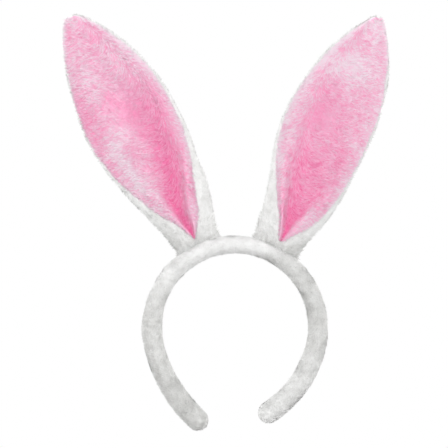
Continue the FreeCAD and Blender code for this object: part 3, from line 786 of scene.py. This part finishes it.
class Ear:
    """One ear's shape, in its own frame: x across, depth towards the front, height up the ear."""

    def __init__(self, side):
        self.side = side
        self.pivot = np.array(JOINTS[f"{side}_ear_bend"]["pos_m"])
        lean = Matrix.Rotation(math.radians(SIGN[side] * LEAN[side]), 3, "Y")
        turn = Matrix.Rotation(math.radians(TURN[side]), 3, "Z")
        self.axes = np.array(lean @ turn)

    def place(self, x, depth, height):
        """Points in the row frame from millimetres in the ear's frame."""
        share = SHARE[self.side]
        local = np.stack([x * share, -depth * np.ones_like(x), height * share], -1) * MM
        return local @ self.axes.T + self.pivot

    def half_width(self, height):
        squared = [(up, half * half) for up, half in HALF_WIDTH[self.side]]
        return np.sqrt(np.maximum(smooth_table(squared, height), 0.05))

    def middle(self, height):
        return smooth_table(MIDDLE_SHIFT[self.side], height)

    def back_at(self, x, height):
        """Depth of the ear's outer side behind the widest line."""
        reach = np.clip((x - self.middle(height)) / self.half_width(height), -1.0, 1.0)
        behind = smooth_table(BACK_DEPTH, height) * np.sqrt(1.0 - reach ** 2)
        return smooth_table(WIDEST_LINE, height) - behind

    def pink_share(self, height, high_side):
        """Share of the half width that the pink panel reaches on one side."""
        return np.minimum(smooth_table((PINK_HIGH if high_side else PINK_LOW)[self.side], height), 0.97)

    def edge(self, height, high_side):
        """Where the pink panel ends on one side: x and depth."""
        share = self.pink_share(height, high_side)
        x = self.middle(height) + (1.0 if high_side else -1.0) * share * self.half_width(height)
        before = smooth_table(FRONT_DEPTH, height) * np.sqrt(1.0 - share ** 2)
        return x, smooth_table(WIDEST_LINE, height) + before

    def back_points(self, height, across):
        """The white panel: across runs 0 to 1 from the one pink edge round the back to the other."""
        half, centre = self.half_width(height), self.middle(height)
        first = np.arcsin(self.pink_share(height, False)) - math.pi
        last = math.pi - np.arcsin(self.pink_share(height, True))
        angle = first + (last - first) * across
        x = centre + half * np.sin(angle)
        behind, before = smooth_table(BACK_DEPTH, height), smooth_table(FRONT_DEPTH, height)
        reach = np.where(np.cos(angle) > 0.0, behind, before)
        depth = smooth_table(WIDEST_LINE, height) - reach * np.cos(angle)
        tuck = 0.8 * (np.exp(-across / 0.02) + np.exp(-(1.0 - across) / 0.02))
        # the gathers that draw the panel in at the root
        near_root = np.exp(-((height + 4.0) / 11.0) ** 2)
        gather = 0.4 * near_root * np.sin(17.0 * angle + 1.3 * np.sin(3.0 * angle))
        return x + gather * np.sin(angle), depth - tuck - gather * np.cos(angle)

    def front_points(self, height, across):
        """The pink panel: across runs -1 to 1 from edge to edge."""
        low_x, low_depth = self.edge(height, False)
        high_x, high_depth = self.edge(height, True)
        x = low_x + (high_x - low_x) * (across + 1.0) / 2.0
        low_table, high_table = SHOULDERS[self.side]
        inner_roll, outer_roll = smooth_table(INNER_ROLL, height), smooth_table(OUTER_ROLL, height)
        low_roll, high_roll = (outer_roll, inner_roll) if self.side == "left" else (inner_roll, outer_roll)
        low_line = np.maximum(smooth_table(low_table, height), low_x + 0.2)
        high_line = np.minimum(smooth_table(high_table, height), high_x - 0.2)
        hollow = ramp(x, low_line - low_roll, low_line + low_roll)
        hollow = hollow * (1.0 - ramp(x, high_line - high_roll, high_line + high_roll))
        # how far out a point is on its own side, from the shoulder's foot to the pink edge
        on_low = x < (low_line + high_line) / 2.0
        out = np.where(on_low, (low_line + low_roll - x) / np.maximum(low_line + low_roll - low_x, 0.3),
                       (x - high_line + high_roll) / np.maximum(high_x - high_line + high_roll, 0.3))
        out = np.clip(out, 0.0, 1.0)
        crest = np.sin(math.pi * out ** 1.1) ** 2
        floor = self.back_at(x, height) + smooth_table(PADDING, height)
        shoulder = np.where(on_low, low_depth, high_depth) + smooth_table(CREST, height) * crest
        depth = shoulder + (np.minimum(floor, shoulder) - shoulder) * hollow
        tuck = 0.7 * np.exp(-(1.0 - np.abs(across)) / 0.03)
        # painted shade: the pink is painted deeper down in the hollow
        tone = 0.09 + smooth_table(HOLLOW_SHADE[self.side], height) * hollow ** 1.3
        low_pale, high_pale = (smooth_table(table, height) for table in EDGE_PALE[self.side])
        tone = tone - np.where(across < 0.0, low_pale, high_pale) * ramp(np.abs(across), 0.72, 0.98)
        # painted highlights and brushed patches
        for *area, change in BRUSHED_AND_HIGHLIGHTS[self.side]:
            tone += change * soft_spot(x, height, *area)
        return x, depth - tuck, tone

    def local(self, points):
        """Millimetres in the ear's frame from points in the row frame."""
        return ((points - self.pivot) @ self.axes / MM).T

    def pink_heading(self, points):
        """Pink pile lies sideways, to the left and right of a parting where it lies downwards."""
        x, _, height = self.local(points)
        low_line, high_line = (smooth_table(table, height) for table in SHOULDERS[self.side])
        parting = low_line + PARTING[self.side] * (high_line - low_line)
        fan = 1.30 * np.tanh((x - parting) / (0.20 * self.half_width(height)))
        fan = fan + 0.35 * noise(points, 9.0 * MM, 5)
        return np.stack([np.sin(fan), np.zeros(len(points)), -np.cos(fan)], 1)

    def white_heading(self, points):
        """White pile lies up the ear and out over its edges."""
        out = np.tanh(self.local(points)[0] / 9.0)[:, None]
        return self.axes[:, 2] + 1.1 * out * self.axes[:, 0]

    def pink_gap_shade(self, points):
        """Painted shade in the gaps between rows of pink pile: level in the ear's middle, turned down
        towards its edges.
        """
        x = self.local(points)[0]
        turned = 0.0175 * np.minimum(x + 10.0, 0.0) ** 2 + 0.010 * np.maximum(x - 10.0, 0.0) ** 2
        shifted = points + np.outer(turned * MM, [0.0, 0.0, 1.0])
        return 0.36 * np.maximum(1.0 - np.abs(ridges(shifted, 85, 1.0 * MM)) / 0.26, 0.0)


def sheet_mesh(name, outer, rows, cols, thick, tone, material):
    """A closed thin sheet from a grid of points: its face, its lining and its rim."""
    quads = grid_faces(rows, cols)
    normals = skin_normals(outer, quads)
    inner = outer - normals * thick
    tones = np.concatenate([tone, np.full(rows * cols, LINING_TONE)])[:, None]
    points = np.concatenate([outer, inner])
    return make_mesh(name, points, slab_faces(rows, cols), (), tones, None, material), normals


def ear_blend(piece):
    """Bakes a piece's placement into its mesh."""
    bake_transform(piece)


def rows_up(low_height, high_height, step):
    """Heights up the ear, closer together where the tip rounds off."""
    body = np.arange(low_height, TIP_START, step)
    turn = np.radians(np.linspace(0.0, 90.0, TIP_STEPS)[1:])
    return np.concatenate([body, TIP_START + (high_height - TIP_START) * np.sin(turn)])


def sheet_grid(heights, first, last, cols):
    """The height of each point of a sheet and its place across, row by row."""
    return np.repeat(heights, cols), np.tile(np.linspace(first, last, cols), len(heights))


def back_panel(ear):
    """The white panel's sheet, and the skin that carries its pile."""
    heights = rows_up(-7.0, EAR_TOP - 0.3, step=1.1)
    cols = 120
    grid_h, across = sheet_grid(heights, 1.0, 0.0, cols)
    x, depth = ear.back_points(grid_h, across)
    outer = ear.place(x, depth, grid_h)
    quads = grid_faces(len(heights), cols)
    outer = rumple(outer, skin_normals(outer, quads), 51, 0.4 * MM, 0.2 * MM)
    tone = 0.16 + layered_noise(outer, (0.10, 10.0, 61), (0.06, 3.0, 62))
    # painted shade: darker where the ear is gathered at the root, and on its outer flank near the root,
    # which turns away from the light
    flank_shade = ramp(SIGN[ear.side] * x, 2.0, 12.0) * (1.0 - ramp(grid_h, 18.0, 50.0))
    tone = np.clip(tone + 0.16 * np.exp(-((grid_h + 2.0) / 7.0) ** 2) + 0.10 * flank_shade, 0.0, 1.0)
    thick = 1.1 * MM
    piece, normals = sheet_mesh(f"{ear.side}_ear_back", outer, len(heights), cols, thick, tone, white_skin)
    # the pile is longer and wilder round the gathered root
    clipping = 1.0 + 0.7 * (1.0 - ramp(grid_h, 4.0, 38.0))
    return piece, (outer, quads, tone, normals, clipping)


def front_panel(ear):
    """The pink panel's sheet, and the skin that carries its pile."""
    heights = rows_up(4.6, EAR_TOP - 0.8, step=0.9)
    cols = 110
    grid_h, across = sheet_grid(heights, -1.0, 1.0, cols)
    x, depth, tone = ear.front_points(grid_h, across)
    outer = ear.place(x, depth, grid_h)
    quads = grid_faces(len(heights), cols)
    outer = rumple(outer, skin_normals(outer, quads), 71, 0.4 * MM, 0.28 * MM)
    tone = tone + layered_noise(outer, (0.05, 16.0, 73), (0.05, 6.0, 74))
    # the pile is clipped shorter at the panel's edges and towards its point
    clipping = (1.0 - 0.45 * ramp(np.abs(across), 0.85, 1.0)) * (0.45 + 0.55 * ramp(grid_h, 8.0, 40.0))
    clipping *= 1.0 - 0.6 * soft_spot(x, grid_h, *PRESSED[ear.side])
    # painted shade in the gaps between the locks: the ground cloth is painted deeper than the pile
    ground = np.clip(tone + 0.36 * clipping, 0.0, 1.0)
    thick = 1.0 * MM
    piece, normals = sheet_mesh(f"{ear.side}_ear_front", outer, len(heights), cols, thick, ground, pink_skin)
    return piece, (outer, quads, tone, normals, clipping)


def wadding_pad(ear):
    """The thin padding between the two panels: thick under the hollow, thin at the edges."""
    heights = rows_up(14.0, EAR_TOP - 9.0, step=3.0)
    cols = 24
    grid_h, across = sheet_grid(heights, -0.93, 0.93, cols)
    x, face, _ = ear.front_points(grid_h, across)
    behind = ear.back_at(x, grid_h)
    middle_depth = (face + behind) / 2.0
    # the panels take 1.6 mm from each side, and the pad thins out towards its edges
    half = np.maximum((face - behind) / 2.0 - 1.6, 0.15) * np.sqrt(1.0 - 0.9 * across ** 2)
    front = ear.place(x, middle_depth + half, grid_h)
    back = ear.place(x, middle_depth - half, grid_h)
    points = np.concatenate([front, back])
    lumps = 0.2 * MM * noise(points, 5.0 * MM, 66)
    points = points + unit(points - points.mean(0)) * lumps[:, None]
    faces = slab_faces(len(heights), cols)
    return make_mesh(f"{ear.side}_ear_wadding_pad", points, faces, material=wadding_material)


def edge_places(ear, heights, high_side, inset):
    """x and depth near the pink panel's edge, moved in from it by a share of the panel's half width."""
    across = np.full(len(heights), (1.0 if high_side else -1.0) * (1.0 - inset))
    return ear.front_points(heights, across)[:2]


def wire_loop(ear):
    """The bendable wire inside the edge: up one side, over the top and down the other."""
    heights = rows_up(13.0, EAR_TOP - 6.0, step=4.0)
    inset, under = 0.09, 2.3
    low_x, low_depth = edge_places(ear, heights, False, inset)
    high_x, high_depth = edge_places(ear, heights, True, inset)
    x = np.concatenate([low_x, high_x[::-1]])
    depth = np.concatenate([low_depth, high_depth[::-1]]) - under
    path = ear.place(x, depth, np.concatenate([heights, heights[::-1]]))
    return tube_mesh(f"{ear.side}_wire_loop", path, 0.5 * MM, 8, wire_material)


def edge_stitches(ear):
    """Small slanted stitches where the pink panel is sewn to the white one."""
    lines = []
    pitch = 3.1
    heights = np.arange(8.0, 192.0, pitch)
    slanted = heights + 0.45 * pitch
    # the stitches show near the root, and sink into the pile above it
    sunk = 1.1 * ramp(heights, 45.0, 80.0)
    bow = ear.axes[:, 1] * -0.5 * MM
    for high_side, out in ((False, -1.0), (True, 1.0)):
        first_x, first_depth = edge_places(ear, heights, high_side, 0.05)
        last_x, last_depth = ear.edge(slanted, high_side)
        first = ear.place(first_x, first_depth + 0.9 - sunk, heights)
        last = ear.place(last_x + 0.7 * out, last_depth - 0.1 - sunk, slanted)
        lines += [stitch_path(*ends, bow) for ends in zip(first, last)]
    return sewn(f"{ear.side}_edge_stitches", lines, 0.22 * MM, pink_thread)


def band_top(side, along, depth, lift):
    """A point over the band's top under an ear: mm along it from the ear's root, depth and lift."""
    root_x, _, root_z = JOINTS[f"{side}_ear_bend"]["pos_m"]
    angle = math.atan2(root_x, root_z) + along * MM / BAND_RADIUS
    thick, wide = half_sizes(side, abs(angle) * BAND_RADIUS)
    reach = BAND_RADIUS + thick * math.sqrt(max(1.0 - (depth * MM / wide) ** 2, 0.0)) + lift * MM
    return np.array([reach * math.sin(angle), -depth * MM, reach * math.cos(angle)])


def root_roll(side):
    """The ear's gathered tail under its base, rolled along the band."""
    rows, cols = 40, 32
    half_length, depth_middle, lift_middle = 12.5, -3.2, 1.6
    points = []
    for share in np.linspace(-1.0, 1.0, rows):
        round_off = math.sqrt(max(1.0 - abs(share) ** 4, 0.0))
        for angle in np.linspace(0.0, 2.0 * math.pi, cols, endpoint=False):
            pleat = 1.0 + 0.07 * math.sin(9.0 * angle) + 0.05 * math.sin(11.0 * share + 3.0 * angle)
            depth = depth_middle + 4.3 * round_off * pleat * math.cos(angle)
            lift = lift_middle + 2.6 * round_off * pleat * math.sin(angle)
            points.append(band_top(side, share * half_length, depth, lift))
    caps = [band_top(side, end * (half_length + 0.1), depth_middle, lift_middle) for end in (-1.0, 1.0)]
    rim, count = np.arange(cols), rows * cols
    ends = np.concatenate([fan_faces(rim, count), fan_faces(count - cols + rim, count + 1, flip=True)])
    tones = np.full((count + 2, 1), 0.25)
    quads = grid_faces(rows, cols, wrap=True, flip=True)
    return make_mesh(f"{side}_root_roll", np.array(points + caps), quads, ends, tones, None, white_skin)


def whip_stitches(side):
    """Two rows of stitches that sew the ear's base down to the band, in front and behind."""
    lines = []
    pitch = 3.3
    for front_side, depth in ((1.0, 3.0), (-1.0, -7.4)):
        for k in range(-4, 5):
            along = k * pitch
            first = band_top(side, along, depth + 1.1 * front_side, 0.1)
            last = band_top(side, along + 1.2, depth - 0.3 * front_side, 2.0)
            bow = np.array([0.0, -0.6 * MM * front_side, 0.3 * MM])
            lines.append(stitch_path(first, last, bow))
    return sewn(f"{side}_whip_stitches", lines, 0.28 * MM, white_thread)


for side in SIDES:
    ear = Ear(side)
    back, back_skin = back_panel(ear)
    front, front_skin = front_panel(ear)
    white_hair = pile(
        f"{side}_ear_back_pile", back_skin, count=17000, length=2.2 * MM, width=0.5 * MM, lift=0.55 * MM,
        heading=ear.white_heading, wave=0.9, spread=0.6, shade=0.05, uneven=0.06, tilt=0.25,
        ridge=white_gap_shade(0.05), seed=81 + SIDES.index(side), material=white_pile)
    pink_hair = pile(
        f"{side}_ear_front_pile", front_skin, count=21000, length=3.8 * MM, width=0.36 * MM, lift=1.0 * MM,
        heading=ear.pink_heading, wave=0.4, spread=0.15, shade=0.20, uneven=0.08, tilt=0.25,
        ridge=ear.pink_gap_shade, seed=91 + SIDES.index(side), material=pink_pile)
    pad, wire, seam = wadding_pad(ear), wire_loop(ear), edge_stitches(ear)
    roll, whips = root_roll(side), whip_stitches(side)
    for piece, slot in ((back, "white_plush"), (front, "pink_plush"), (white_hair, "white_plush"),
                        (pink_hair, "pink_plush"), (pad, "wadding"), (wire, "wire"), (seam, "pink_thread")):
        ear_blend(piece)
    for piece, slot in ((roll, "white_plush"), (whips, "white_thread")):
        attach(piece, "crown")
    for piece, node in ((back, "ear_back_panel"), (front, "ear_front_panel"), (pad, "ear_wadding"),
                        (wire, "ear_wire"), (seam, "ear_edge_seam"), (roll, "ear_root"),
                        (whips, "root_stitches")):
        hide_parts(f"{side}_{node}")

for node in frame["nodes"]:
    for kind, material in CARRIED.items():
        if kind in node:
            for slot in bpy.data.objects[node].material_slots:
                slot.material = material
